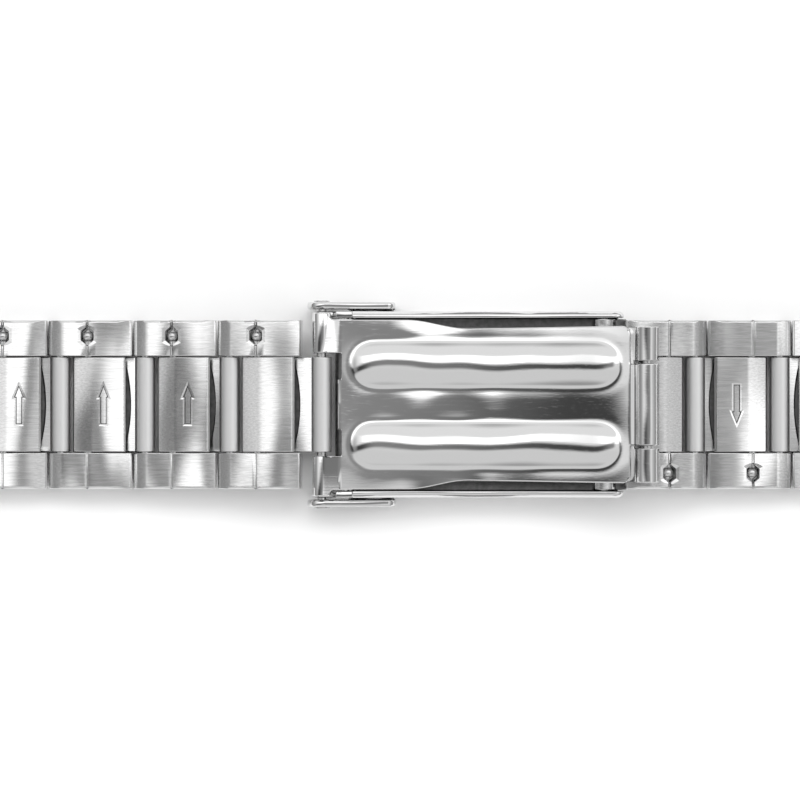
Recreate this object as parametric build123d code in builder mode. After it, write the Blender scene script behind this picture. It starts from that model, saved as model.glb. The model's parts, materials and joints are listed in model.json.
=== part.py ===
from build123d import *
import math
import os

# A steel link bracelet for an 18 mm watch, laid flat with its fold-over clasp closed.
# Sizes are in millimetres. X runs along the bracelet, Y runs across it, and Z rises from the
# polished face that lies on the table to the face that touches the wrist.

# The rows of links
left_links = 4
right_links = 3
bracelet_width = 18.0
centre_width = 10.1
row_gap = 0.12
link_pitch = 9.1
pin_spacing = 3.0
end_gap = 0.15
link_thickness = 2.8
first_centre_span = 6.9
left_slopes = [6.0, 4.5, 3.0, 2.2]
right_slopes = [4.0, 3.0]
seat_sides = 8

# Pins and the holes that they turn or sit in
pin_radius = 0.5
running_clearance = 0.05
seat_clearance = 0.02
long_pin_inset = 0.1
short_pin_inset = 0.8

# Outer pieces
outer_end_radius = 1.2
outer_end_angle = 45.0
outer_end_flat = 0.45
outer_face_height = 0.9
outer_far_bevel = 1.35
outer_near_bevel = 1.45
outer_near_drop = 0.3
outer_near_step = 0.15
outer_under_bevel = 0.3
outer_edge_chamfer = 0.2
seam_depth = 0.12
pin_opening_inset = 1.65
pin_opening_length = 2.1
pin_opening_side = 1.0
pin_opening_width = 1.4
pin_opening_floor = 0.55
pin_tip_reach = 0.3

# Centre pieces, folded from sheet
sheet_thickness = 0.5
plate_height = 1.15
plate_reach = 3.47
plate_edge_roll = 0.25
bend_reach = 0.25
bend_drop = 0.17
block_reach = 1.27
block_back = 1.25
block_corner = 0.35
skirt_reach = 1.7
skirt_chamfer = 0.3
skirt_height = 0.55
barrel_radius = 1.08
lip_length = 1.95
lip_hollow = 0.75
lip_height = 0.45
underside_run = 0.25
neck_depth = 0.4
neck_length = 2.15

# Ends that meet the watch, and the spring bars
end_link_span = 6.0
end_link_width = 17.8
bar_tube_radius = 0.85
bar_tube_inset = 0.15
bar_tip_radius = 0.45
bar_tip_overlap = 1.6
bar_stem_radius = 0.46
bar_stem_bare = 0.05
lug_depth = 1.0

# Cover of the clasp
cover_curve_radius = 60.0
cover_curve_offset = 17.7
cover_width = 19.84
cover_wall = 0.7
cover_floor = 0.7
cover_wall_height = 3.4
cover_floor_start = 3.6
cover_floor_end = 31.6
cover_wall_start = 3.3
cover_wall_end = 32.2
cover_wall_corner = 1.0
cover_edge_chamfer = 0.35
adjust_offset = 30.07
adjust_pitch = 2.6
adjust_positions = 3
adjust_hole_radius = 0.5
adjust_sleeve_radius = 1.25
adjust_sleeve_gap = 0.12
adjust_leaf_gap = 0.13
adjust_floor_gap = 0.14
flap_pivot_offset = 0.0
flap_pivot_height = 1.95
cheek_radius = 0.8
cheek_top = 2.72
cheek_step = 1.25
cheek_rise = 3.87
cheek_lean = 0.25
cheek_foot_x = 2.7
cheek_foot_z = 1.91
cheek_foot_run = 0.35

# Blade, the inner part that lies against the wrist
blade_curve_radius = 60.0
blade_curve_offset = 13.0
blade_thickness = 0.8
ear_half_width = 9.77
ear_inner = 5.47
ear_radius = 1.0
ear_front = 0.95
ear_front_cut = 0.35
ear_root = 1.9
ear_chamfer_start = 0.5
ear_chamfer_end = 1.1
notch_depth = 2.14
notch_tab_half_width = 2.7
notch_tab_depth = 1.74
blade_wide = 18.15
blade_waist = 16.24
blade_end_width = 16.7
waist_start = 9.0
waist_end = 15.8
blade_end = 32.75
blade_corner = 0.9
rib_start = 3.1
rib_end = 31.8
rib_width = 4.7
rib_height = 0.9
rib_spacing = 8.6
rib_facets = 3
rib_end_run = 1.4
rib_end_flat = 0.9

# Leaf between the blade and the cover
leaf_width = 16.5
leaf_thickness = 0.6
leaf_gap = 0.1
leaf_hinge_offset = 2.4
leaf_knuckle_radius = 0.95
fold_hinge_offset = 34.6
fold_hinge_depth = 1.386
fold_knuckle_radius = 1.27
fold_knuckle_width = 8.7
fold_knuckle_gap = 0.3
fold_relief = 0.15

# Safety flap and its rivets
flap_arm_inner = 10.14
flap_arm_thickness = 0.8
flap_arm_radius = 1.55
flap_gap = 0.12
flap_thickness = 0.7
flap_bridge_start = 3.0
flap_bridge_end = 7.6
flap_arm_end = 7.9
flap_shoulder_x = 7.3
flap_shoulder_z = 2.5
flap_corner_z = 1.9
rivet_head_radius = 0.85
rivet_head_height = 0.16

# One overrun serves every cut
overrun = 1.0

# Sizes worked out from the ones above
half_thickness = link_thickness / 2
half_bracelet = bracelet_width / 2
half_centre = centre_width / 2
outer_inner_face = half_centre + row_gap
running_radius = pin_radius + running_clearance
seat_radius = pin_radius + seat_clearance
centre_span = link_pitch - pin_spacing
outer_far = pin_spacing + outer_end_radius
outer_near = link_pitch - end_gap - outer_far
cover_half = cover_width / 2
cover_inner = cover_half - cover_wall
leaf_inner_radius = blade_curve_radius + blade_thickness + leaf_gap
leaf_outer_radius = leaf_inner_radius + leaf_thickness
bar_sleeve_radius = bar_tube_radius + running_clearance


def depth_on_arc(radius, offset):
    """How far a point on an arc's lower side lies below its centre, at an offset along X."""
    return math.sqrt(radius**2 - offset**2)


def height_on_blade(radius, place):
    """Height of the blade's curve at a place along X from the links' hinge, for one of its radii."""
    return blade_centre_height - depth_on_arc(radius, place - blade_curve_offset)


def slopes_to_table(drop, gentle_slopes, link_count):
    """Slope of every piece of a row of links that comes down to the table from a clasp hinge."""
    spans = [centre_span, pin_spacing] * link_count
    gentle_drop = sum(
        span * math.sin(math.radians(slope)) for span, slope in zip(spans, gentle_slopes)
    )
    steep = math.degrees(math.asin((drop - gentle_drop) / (first_centre_span + pin_spacing)))
    slopes = [steep, steep] + gentle_slopes
    return slopes + [0.0] * (2 * link_count - len(slopes))


def row_spans(link_count):
    """Distance between the two pins of each piece, from the clasp to the watch."""
    return [first_centre_span, pin_spacing] + [centre_span, pin_spacing] * (link_count - 1)


def row_reach(slopes, link_count):
    """Length on the table from the clasp hinge to the end that meets the watch."""
    flat = [s * math.cos(math.radians(a)) for s, a in zip(row_spans(link_count), slopes)]
    return sum(flat) + end_link_span + half_thickness


# The sleeve at the adjustable end stands on the cover's floor, and the folded leaf clears its top
floor_radius = cover_curve_radius - cover_floor
floor_rise = cover_curve_radius - depth_on_arc(floor_radius, adjust_offset - cover_curve_offset)
adjust_axis_height = floor_rise + adjust_floor_gap + adjust_sleeve_radius
leaf_over_sleeve = adjust_axis_height + adjust_sleeve_radius + adjust_leaf_gap
blade_centre_height = leaf_over_sleeve + depth_on_arc(leaf_outer_radius, adjust_offset - blade_curve_offset)
ear_top = height_on_blade(blade_curve_radius, ear_root)
ear_axis_height = ear_top - ear_radius
adjust_radius = math.hypot(cover_curve_radius - adjust_axis_height, adjust_offset - cover_curve_offset)
left_row_slopes = slopes_to_table(ear_axis_height - half_thickness, left_slopes, left_links)
right_row_slopes = slopes_to_table(adjust_axis_height - half_thickness, right_slopes, right_links)

# The hinge between blade and links stands where the whole bracelet is centred on X = 0
left_reach = row_reach(left_row_slopes, left_links)
right_reach = adjust_offset + row_reach(right_row_slopes, right_links)
blade_link_x = (left_reach - right_reach) / 2

cover_centre = (blade_link_x + cover_curve_offset, cover_curve_radius)
blade_centre = (blade_link_x + blade_curve_offset, blade_centre_height)
blade_link_axis = (blade_link_x, ear_axis_height)
adjust_axis = (blade_link_x + adjust_offset, adjust_axis_height)
leaf_rise = height_on_blade(leaf_inner_radius, leaf_hinge_offset)
leaf_axis = (blade_link_x + leaf_hinge_offset, leaf_rise - leaf_knuckle_radius)
fold_rise = height_on_blade(blade_curve_radius + fold_hinge_depth, fold_hinge_offset)
fold_axis = (blade_link_x + fold_hinge_offset, fold_rise)
flap_axis = (blade_link_x + flap_pivot_offset, flap_pivot_height)


def row_layout(start, direction, slopes, link_count):
    """Clasp-side pin, watch-side pin and slope of each piece of a row, the end link last."""
    x, z = start
    pieces = []
    for span, slope in zip(row_spans(link_count) + [end_link_span], slopes + [0.0]):
        turn = math.radians(slope)
        far = (x + direction * span * math.cos(turn), z - span * math.sin(turn))
        pieces.append(((x, z), far, slope))
        x, z = far
    return pieces


def side_view(point, slope, direction):
    """Plane of a piece seen from the side: x runs to the clasp and y to the wrist."""
    turn = math.radians(slope)
    along = (-direction * math.cos(turn), 0, math.sin(turn))
    return Plane(origin=(point[0], 0, point[1]), x_dir=along, z_dir=(0, direction, 0))


def plan_view(view):
    """Plane through the same origin, seen from the wrist."""
    return Plane(origin=view.origin, x_dir=view.x_dir, z_dir=view.y_dir)


def section_view(view):
    """Plane across a piece, with x along the view's normal and y to the wrist."""
    return Plane(origin=view.origin, x_dir=view.z_dir, z_dir=-view.x_dir)


def curved_band(centre, inner_radius, outer_radius, start_x, end_x):
    """Strip between two arcs about one centre, drawn from the side in the open sketch."""
    middle_x = (start_x + end_x) / 2
    edges = [
        [(x, centre[1] - depth_on_arc(radius, x - centre[0])) for x in (start_x, middle_x, end_x)]
        for radius in (inner_radius, outer_radius)
    ]
    with BuildLine() as strip:
        upper = ThreePointArc(*edges[0])
        lower = ThreePointArc(*edges[1])
        Line(upper @ 0, lower @ 0)
        Line(upper @ 1, lower @ 1)
    make_face(strip.edges())


def cut_bore(view, point, radius, start, end):
    """Round hole along Y in the open part, between two distances across it."""
    with BuildSketch(view.offset(start)) as bore:
        with Locations(point):
            Circle(radius)
    extrude(bore.sketch, amount=end - start, mode=Mode.SUBTRACT)


def cut_flats(view, point, radius, start, end):
    """Hole along Y with flat sides that touch a circle, between two distances across the open part."""
    with BuildSketch(view.offset(start)) as hole:
        with Locations(point):
            RegularPolygon(radius, seat_sides, major_radius=False)
    extrude(hole.sketch, amount=end - start, mode=Mode.SUBTRACT)


def cut_seat(view, point, start, end):
    """Hole along Y that grips a pin on flats, between two distances across the open part."""
    cut_flats(view, point, seat_radius, start, end)


def centre_outline(span):
    """Side of a centre piece's folded sheet, from the plate pin to the barrel pin."""
    plate_under = plate_height - sheet_thickness
    sheet_top = sheet_thickness - half_thickness
    lip_top = sheet_top + lip_height
    lip_start = span - lip_length
    return [
        (-block_reach, plate_height - bend_drop - block_corner),
        (-block_reach + block_corner / 2, plate_height - bend_drop),
        (bend_reach, plate_height),
        (plate_reach - plate_edge_roll, plate_height),
        (plate_reach, plate_height - plate_edge_roll),
        (plate_reach, plate_under),
        (block_back, plate_under),
        (block_back, sheet_top),
        (lip_start, sheet_top),
        (lip_start, lip_top),
        (span, lip_top),
        (span + barrel_radius * math.cos(math.radians(45)), -barrel_radius * math.sin(math.radians(45))),
        (span + underside_run, -half_thickness),
        (-skirt_reach + skirt_chamfer, -half_thickness),
        (-skirt_reach, -half_thickness + skirt_chamfer),
        (-skirt_reach, -half_thickness + skirt_height),
        (-block_reach, -half_thickness + skirt_height + skirt_chamfer),
    ]


def cut_lip(view, span):
    """Curved edge of the sheet that is rolled round the barrel pin, hollow toward the barrel."""
    sheet_top = sheet_thickness - half_thickness
    lip_start = span - lip_length
    with BuildSketch(plan_view(view).offset(sheet_top)) as hollow:
        with BuildLine() as rim:
            edge = ThreePointArc(
                (lip_start, -half_centre), (lip_start + lip_hollow, 0), (lip_start, half_centre)
            )
            Line(edge @ 0, edge @ 1)
        make_face(rim.edges())
    extrude(hollow.sketch, amount=lip_height + seam_depth, mode=Mode.SUBTRACT)


def centre_piece(view, span, name):
    """A centre piece: plate and rolled barrel of one folded sheet round a block for the plate pin."""
    with BuildPart() as piece:
        with BuildSketch(view):
            Polygon(*centre_outline(span), align=None)
            with Locations((span, 0)):
                Circle(barrel_radius)
        extrude(amount=half_centre, both=True)
        cut_lip(view, span)
        cut_flats(view, (0, 0), running_radius, -half_centre, half_centre)
        cut_bore(view, (span, 0), running_radius, -half_centre, half_centre)
    write_part(piece, name)


def sleeve_outline(span):
    """Side of the centre piece whose sheet steps up over the end of the cover to its sleeve."""
    plain = centre_outline(span)
    sheet_top = sheet_thickness - half_thickness
    step = span - neck_length
    neck_top = sheet_thickness - neck_depth
    return plain[:8] + [
        (step - sheet_thickness, sheet_top),
        (step - sheet_thickness, neck_top),
        (span, neck_top),
        (span, -neck_depth),
        (step, -neck_depth),
        (step, -half_thickness),
    ] + plain[-4:]


def sleeve_centre_piece(view, span, name):
    """The centre piece on the adjustable side, with a sleeve as wide as the cover for its spring bar."""
    sleeve_half = cover_inner - adjust_sleeve_gap
    with BuildPart() as piece:
        with BuildSketch(view):
            Polygon(*sleeve_outline(span), align=None)
        extrude(amount=half_centre, both=True)
        cut_flats(view, (0, 0), running_radius, -half_centre, half_centre)
        with BuildSketch(view):
            with Locations((span, 0)):
                Circle(adjust_sleeve_radius)
        extrude(amount=sleeve_half, both=True)
        cut_flats(view, (span, 0), bar_sleeve_radius, -sleeve_half, sleeve_half)
    write_part(piece, name)


def outer_outline():
    """Side of an outer piece about its plate pin, with its far end bevelled round the barrel pin."""
    turn = math.radians(outer_end_angle)
    run = outer_end_radius * math.cos(turn)
    rise = outer_end_radius * math.sin(turn)
    return [
        (-pin_spacing - run, rise),
        (-outer_far, outer_end_flat),
        (-outer_far, -outer_end_flat),
        (-pin_spacing - run, -rise),
        (outer_under_bevel - pin_spacing, -half_thickness),
        (outer_near - outer_under_bevel, -half_thickness),
        (outer_near, -outer_face_height),
        (outer_near, outer_face_height),
        (outer_near - outer_near_step, half_thickness - outer_near_drop),
        (outer_near - outer_near_bevel, half_thickness),
        (outer_far_bevel - outer_far, half_thickness),
    ]


def outer_section(start, end, edge_plane):
    """Cross section of an outer piece, chamfered along the bracelet's edge, in the open sketch."""
    inward = math.copysign(outer_edge_chamfer, -edge_plane)
    inner_plane = start + end - edge_plane
    Polygon(
        (inner_plane, half_thickness),
        (edge_plane + inward, half_thickness),
        (edge_plane, half_thickness - outer_edge_chamfer),
        (edge_plane, outer_edge_chamfer - half_thickness),
        (edge_plane + inward, -half_thickness),
        (inner_plane, -half_thickness),
        align=None,
    )


def opening_outline(centre):
    """Six-sided opening over a pin's end, with a point at each end of the pin, in the open sketch."""
    half_width = pin_opening_width / 2
    half_side = pin_opening_side / 2
    half_length = pin_opening_length / 2
    with Locations(centre):
        Polygon(
            (half_width, half_side),
            (0, half_length),
            (-half_width, half_side),
            (-half_width, -half_side),
            (0, -half_length),
            (half_width, -half_side),
            align=None,
        )


def outer_piece(view, arrow_side, name):
    """An outer piece. The one on the side that the arrows point to shows the plate pin's end."""
    width = half_bracelet - outer_inner_face
    start = -half_bracelet if arrow_side else outer_inner_face
    edge_plane = -half_bracelet if arrow_side else half_bracelet
    with BuildPart() as piece:
        with BuildSketch(view.offset(start)):
            Polygon(*outer_outline(), align=None)
        extrude(amount=width)
        with BuildSketch(section_view(view)):
            outer_section(start, start + width, edge_plane)
        extrude(amount=outer_far + outer_near, both=True, mode=Mode.INTERSECT)
        with BuildSketch(view.offset(start)):
            Polygon(
                (-seam_depth, half_thickness),
                (0, half_thickness - seam_depth),
                (seam_depth, half_thickness),
                (0, half_thickness + seam_depth),
                align=None,
            )
        extrude(amount=width, mode=Mode.SUBTRACT)
        cut_seat(view, (0, 0), start, start + width)
        blind = short_pin_inset - seat_clearance
        if arrow_side:
            cut_seat(view, (-pin_spacing, 0), edge_plane + blind, start + width)
            with BuildSketch(plan_view(view).offset(-pin_opening_floor)):
                opening_outline((0, half_bracelet - pin_opening_inset))
            extrude(amount=half_thickness + pin_opening_floor, mode=Mode.SUBTRACT)
        else:
            cut_seat(view, (-pin_spacing, 0), start, edge_plane - blind)
    write_part(piece, name)


def add_pin(view, point, start, end):
    """Round pin along Y in the open part."""
    with BuildSketch(view.offset(start)) as section:
        with Locations(point):
            Circle(pin_radius)
    extrude(section.sketch, amount=end - start)


def link_pins(view, name):
    """The two pins of a link: one holds a plate, the other runs through the next barrel."""
    tip = -half_bracelet + pin_opening_inset - pin_tip_reach
    with BuildPart() as pins:
        add_pin(view, (0, 0), tip, half_bracelet - long_pin_inset)
        barrel_end = half_bracelet - short_pin_inset
        add_pin(view, (-pin_spacing, 0), -barrel_end, barrel_end)
    write_part(pins, name)


def end_link(view, name):
    """The end that fills the space between the watch's lugs and holds a spring bar."""
    wide_start = end_link_span - outer_end_radius - end_gap
    half_width = end_link_width / 2
    sheet_top = sheet_thickness - half_thickness
    with BuildPart() as piece:
        for width, top in ((outer_inner_face, plate_height), (half_width, half_thickness)):
            inner = 0 if width < half_width else outer_inner_face
            for side in (-1, 1):
                with BuildSketch(view.offset(side * inner)):
                    Circle(half_thickness)
                    Polygon(
                        (0, -half_thickness),
                        (wide_start - outer_under_bevel, -half_thickness),
                        (wide_start, -outer_face_height),
                        (wide_start, top - outer_near_drop),
                        (wide_start - outer_near_drop, top),
                        (0, top),
                        align=None,
                    )
                extrude(amount=side * (width - inner))
        with BuildSketch(view):
            Polygon(
                (0, sheet_top + lip_height),
                (end_link_span, sheet_top + lip_height),
                (end_link_span + underside_run, -half_thickness),
                (0, -half_thickness),
                align=None,
            )
            with Locations((end_link_span, 0)):
                Circle(barrel_radius)
        extrude(amount=half_centre, both=True)
        cut_bore(view, (end_link_span, 0), running_radius, -half_centre, half_centre)
        cut_flats(view, (0, 0), bar_sleeve_radius, -half_width, half_width)
    write_part(piece, name)


def bar_tube(view, half_length, name):
    """Tube of a spring bar, open at both ends for its tips."""
    with BuildPart() as tube:
        with BuildSketch(view):
            Circle(bar_tube_radius)
        extrude(amount=half_length, both=True)
        cut_flats(view, (0, 0), bar_stem_radius + running_clearance, -half_length, half_length)
    write_part(tube, name)


def bar_tip(view, side, half_length, shoulder, reach, name):
    """Sprung tip of a spring bar: a stem in the tube, and a round end from a shoulder outward."""
    start = half_length - bar_tip_overlap
    with BuildPart() as tip:
        with BuildSketch(view.offset(side * start)):
            RegularPolygon(bar_stem_radius, seat_sides, major_radius=False)
        extrude(amount=side * (shoulder - start))
        with BuildSketch(view.offset(side * shoulder)):
            Circle(bar_tip_radius)
        extrude(amount=side * (reach - shoulder))
    write_part(tip, name)


def cheek_outline():
    """Front of the cover's wall: a cheek for the flap's rivet and the leaf's pin, in the open sketch."""
    origin = blade_link_x
    with Locations(flap_axis):
        Circle(cheek_radius)
    Polygon(
        (origin - cheek_radius / 2, cheek_top),
        (origin + cheek_step, cheek_top),
        (origin + cheek_step + cheek_lean, cheek_rise),
        (origin + cover_floor_start, cheek_rise),
        (origin + cover_floor_start, cheek_foot_z),
        (origin + cheek_foot_x, cheek_foot_z),
        (origin + cheek_foot_run, flap_pivot_height - cheek_radius + cheek_foot_run / 4),
        (origin, flap_pivot_height - cheek_radius / 2),
        align=None,
    )


def adjust_holes():
    """Centres of the holes that the adjusting spring bar can be moved to."""
    offsets = [adjust_offset - number * adjust_pitch for number in range(adjust_positions)]
    return [
        (
            blade_link_x + offset,
            cover_curve_radius - depth_on_arc(adjust_radius, offset - cover_curve_offset),
        )
        for offset in offsets
    ]


def clasp_cover():
    """The curved outer shell, with a wall along each side and a cheek at the front of each wall."""
    side = Plane.XZ
    front = blade_link_x + cover_wall_start
    back = blade_link_x + cover_wall_end
    with BuildPart() as cover:
        with BuildSketch(side) as outline:
            curved_band(
                cover_centre, cover_curve_radius - cover_wall_height, cover_curve_radius, front, back
            )
            fillet(outline.vertices().sort_by(Axis.X)[-2:], radius=cover_wall_corner)
        extrude(amount=cover_half, both=True)
        long_edges = [
            edge
            for edge in cover.edges().filter_by(GeomType.CIRCLE)
            if abs(edge.radius - cover_curve_radius) < seat_clearance
        ]
        chamfer(long_edges, length=cover_edge_chamfer)
        with BuildSketch(side):
            curved_band(
                cover_centre,
                floor_radius - cover_wall_height,
                floor_radius,
                front - overrun,
                back + overrun,
            )
        extrude(amount=cover_inner, both=True, mode=Mode.SUBTRACT)
        for start, end in (
            (front - overrun, blade_link_x + cover_floor_start),
            (blade_link_x + cover_floor_end, back + overrun),
        ):
            with BuildSketch(side):
                curved_band(
                    cover_centre, floor_radius - overrun, cover_curve_radius + overrun, start, end
                )
            extrude(amount=cover_inner, both=True, mode=Mode.SUBTRACT)
        for wall_face in (cover_inner, -cover_half):
            with BuildSketch(side.offset(wall_face)):
                cheek_outline()
            extrude(amount=cover_wall)
        for point in adjust_holes():
            cut_bore(side, point, adjust_hole_radius, -cover_half, cover_half)
        cut_seat(side, leaf_axis, -cover_half, cover_half)
        cut_bore(side, flap_axis, running_radius, -cover_half, cover_half)
    write_part(cover, "clasp_cover")


def middle_leaf():
    """The plain curved plate that folds out between the cover and the blade."""
    side = Plane.XZ
    half_width = leaf_width / 2
    slot_half = fold_knuckle_width / 2 + fold_knuckle_gap
    slot_start = fold_axis[0] - fold_knuckle_radius - fold_relief
    with BuildPart() as leaf:
        with BuildSketch(side):
            curved_band(
                blade_centre, leaf_inner_radius, leaf_outer_radius, leaf_axis[0], fold_axis[0]
            )
            with Locations(leaf_axis):
                Circle(leaf_knuckle_radius)
            with Locations(fold_axis):
                Circle(fold_knuckle_radius)
        extrude(amount=half_width, both=True)
        with BuildSketch(Plane.XY):
            Polygon(
                (slot_start, -slot_half),
                (slot_start, slot_half),
                (fold_axis[0] + fold_knuckle_radius + overrun, slot_half),
                (fold_axis[0] + fold_knuckle_radius + overrun, -slot_half),
                align=None,
            )
        extrude(amount=fold_rise + fold_knuckle_radius + overrun, mode=Mode.SUBTRACT)
        cut_bore(side, leaf_axis, running_radius, -half_width, half_width)
        cut_seat(side, fold_axis, -half_width, half_width)
    write_part(leaf, "middle_leaf")


def blade_plan():
    """Half outline of the blade seen from the wrist, mirrored across the middle, in the open sketch."""
    x = blade_link_x
    middle = ((waist_start + waist_end) / 2, (blade_wide + blade_waist) / 4)
    tongue = fold_knuckle_width / 2
    end_half = blade_end_width / 2
    with BuildLine() as outline:
        Polyline(
            (x + notch_tab_depth, 0),
            (x + notch_tab_depth, notch_tab_half_width),
            (x + notch_depth, notch_tab_half_width),
            (x + notch_depth, ear_inner),
            (x - ear_front, ear_inner),
            (x - ear_front, ear_half_width),
            (x + ear_chamfer_start, ear_half_width),
            (x + ear_chamfer_end, blade_wide / 2),
            (x + waist_start, blade_wide / 2),
        )
        turn_in = TangentArc(
            (x + waist_start, blade_wide / 2), (x + middle[0], middle[1]), tangent=(1, 0)
        )
        TangentArc(turn_in @ 1, (x + waist_end, blade_waist / 2), tangent=turn_in % 1)
        Line((x + waist_end, blade_waist / 2), (x + blade_end - blade_corner, end_half))
        RadiusArc(
            (x + blade_end - blade_corner, end_half), (x + blade_end, end_half - blade_corner), blade_corner
        )
        Polyline(
            (x + blade_end, end_half - blade_corner),
            (x + blade_end, tongue),
            (fold_axis[0], tongue),
            (fold_axis[0], 0),
        )
        mirror(about=Plane.XZ)
    make_face(outline.edges())


def rib_plane(turn, across):
    """Plane that cuts the blade's curve at an angle from its lowest line: y runs out from the centre."""
    out = (math.sin(turn), 0, -math.cos(turn))
    return Plane(
        origin=(blade_centre[0], across, blade_centre[1]),
        x_dir=(0, 1, 0),
        z_dir=(out[2], 0, -out[0]),
    )


def add_rib(across):
    """One pressed rib in the open part: a flat-sided bead along the blade's curve, narrowed at its ends."""
    bead_radius = ((rib_width / 2) ** 2 + rib_height**2) / (2 * rib_height)
    bead_centre = blade_curve_radius - rib_height + bead_radius
    root = blade_curve_radius + blade_thickness - leaf_gap
    half_turn = math.asin(rib_width / 2 / bead_radius)
    steps = [half_turn * step / rib_facets for step in range(-rib_facets, rib_facets + 1)]
    crest = [(bead_radius * math.sin(a), bead_centre - bead_radius * math.cos(a)) for a in steps]
    turns = [
        math.asin((place - blade_curve_offset) / blade_curve_radius) for place in (rib_start, rib_end)
    ]
    with BuildSketch(rib_plane(turns[0], across)) as bead:
        Polygon(*crest, (rib_width / 2, root), (-rib_width / 2, root), align=None)
    pivot = Axis((blade_centre[0], 0, blade_centre[1]), (0, -1, 0))
    sweep = math.degrees(turns[1] - turns[0])
    bar = revolve(bead.sketch, axis=pivot, revolution_arc=sweep, mode=Mode.PRIVATE)
    half_length = (rib_end - rib_start) / 2
    with BuildSketch(Plane.XY) as plan:
        with Locations((blade_link_x + rib_start + half_length, across)):
            outline = Rectangle(rib_end - rib_start, rib_width)
            chamfer(outline.vertices(), length=rib_end_run, length2=rib_width / 2 - rib_end_flat)
    ends = extrude(plan.sketch, amount=blade_centre_height, mode=Mode.PRIVATE)
    add(bar & ends)


def inner_blade():
    """The polished blade with its two ribs, the ears at the links' hinge and the middle knuckle."""
    side = Plane.XZ
    tongue = fold_knuckle_width / 2
    with BuildPart() as blade:
        with BuildSketch(side):
            curved_band(
                blade_centre,
                blade_curve_radius,
                blade_curve_radius + blade_thickness,
                blade_link_x + ear_root - leaf_gap,
                fold_axis[0],
            )
            with Locations(blade_link_axis):
                Circle(ear_radius)
            Polygon(
                (blade_link_x - ear_front, ear_top - ear_front_cut),
                (blade_link_x - ear_front + ear_front_cut, ear_top),
                (blade_link_x + ear_root, ear_top),
                (blade_link_x + ear_root, ear_top - blade_thickness),
                (blade_link_x, ear_top - blade_thickness),
                align=None,
            )
        extrude(amount=ear_half_width, both=True)
        with BuildSketch(Plane.XY):
            blade_plan()
        extrude(amount=blade_centre_height, mode=Mode.INTERSECT)
        with BuildSketch(side):
            with Locations(fold_axis):
                Circle(fold_knuckle_radius)
        extrude(amount=tongue, both=True)
        for across in (-rib_spacing / 2, rib_spacing / 2):
            add_rib(across)
        cut_seat(side, blade_link_axis, -ear_half_width, ear_half_width)
        cut_bore(side, fold_axis, running_radius, -tongue, tongue)
    write_part(blade, "inner_blade")


def safety_flap():
    """The flap that folds over the front of the closed cover, on two arms."""
    side = Plane.XZ
    arm_outer = flap_arm_inner + flap_arm_thickness
    bridge_inner = cover_curve_radius + flap_gap
    bridge_outer = bridge_inner + flap_thickness
    x = blade_link_x
    rims = [
        (x + place, cover_curve_radius - depth_on_arc(bridge_outer, place - cover_curve_offset))
        for place in (flap_bridge_start, flap_bridge_end)
    ]
    with BuildPart() as flap:
        with BuildSketch(side.offset(flap_arm_inner)):
            with Locations(flap_axis):
                Circle(flap_arm_radius)
            Polygon(
                (flap_axis[0], flap_pivot_height + flap_arm_radius),
                (x + flap_shoulder_x, flap_shoulder_z),
                (x + flap_arm_end, flap_corner_z),
                rims[1],
                rims[0],
                (flap_axis[0], flap_pivot_height - flap_arm_radius),
                align=None,
            )
        extrude(amount=flap_arm_thickness)
        mirror(about=Plane.XZ)
        with BuildSketch(side):
            curved_band(
                cover_centre, bridge_inner, bridge_outer, x + flap_bridge_start, x + flap_bridge_end
            )
        extrude(amount=arm_outer, both=True)
        cut_seat(side, flap_axis, -arm_outer, arm_outer)
    write_part(flap, "safety_flap")


def flap_rivets():
    """The two rivets that the flap turns on, each headed outside its arm."""
    side = Plane.XZ
    arm_outer = flap_arm_inner + flap_arm_thickness
    with BuildPart() as rivets:
        for start, end, radius in (
            (cover_inner, arm_outer, pin_radius),
            (arm_outer, arm_outer + rivet_head_height, rivet_head_radius),
        ):
            with BuildSketch(side.offset(start)):
                with Locations(flap_axis):
                    Circle(radius)
            extrude(amount=end - start)
        mirror(about=Plane.XZ)
    write_part(rivets, "flap_rivets")


def hinge_pin(axis, half_length, name):
    """Plain pin of a clasp hinge."""
    with BuildPart() as pin:
        add_pin(Plane.XZ, axis, -half_length, half_length)
    write_part(pin, name)


def write_part(builder, name):
    """Labels a finished piece and writes its file."""
    builder.part.label = name
    export_step(builder.part, f"parts/{name}.step")


def link_row(start, direction, slopes, link_count, row_name):
    """All links of one side of the bracelet, from the clasp to the watch."""
    pieces = row_layout(start, direction, slopes, link_count)
    arrow_row = "far" if direction < 0 else "near"
    plain_row = "near" if direction < 0 else "far"
    for number in range(link_count):
        name = f"{row_name}_link_{number + 1}"
        near, far, slope = pieces[2 * number]
        span = first_centre_span if number == 0 else centre_span
        view = side_view(far, slope, direction)
        if number == 0 and direction > 0:
            sleeve_centre_piece(view, span, f"{name}_centre")
        else:
            centre_piece(view, span, f"{name}_centre")
        near, far, slope = pieces[2 * number + 1]
        view = side_view(near, slope, direction)
        outer_piece(view, True, f"{name}_outer_{arrow_row}")
        outer_piece(view, False, f"{name}_outer_{plain_row}")
        link_pins(view, f"{name}_pins")
    near, far, slope = pieces[-1]
    view = side_view(far, slope, direction)
    end_link(view, f"{row_name}_end_link")
    spring_bar(view, direction, end_link_width / 2, half_bracelet + lug_depth, f"{row_name}_watch_bar")


def spring_bar(view, direction, space, reach, name):
    """Tube and two tips of a spring bar that fills a space between two lugs or walls."""
    half_length = space - bar_tube_inset
    bar_tube(view, half_length, f"{name}_tube")
    for side in (-1, 1):
        row = "far" if side * direction > 0 else "near"
        bar_tip(view, side, half_length, space + bar_stem_bare, reach, f"{name}_tip_{row}")


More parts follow.
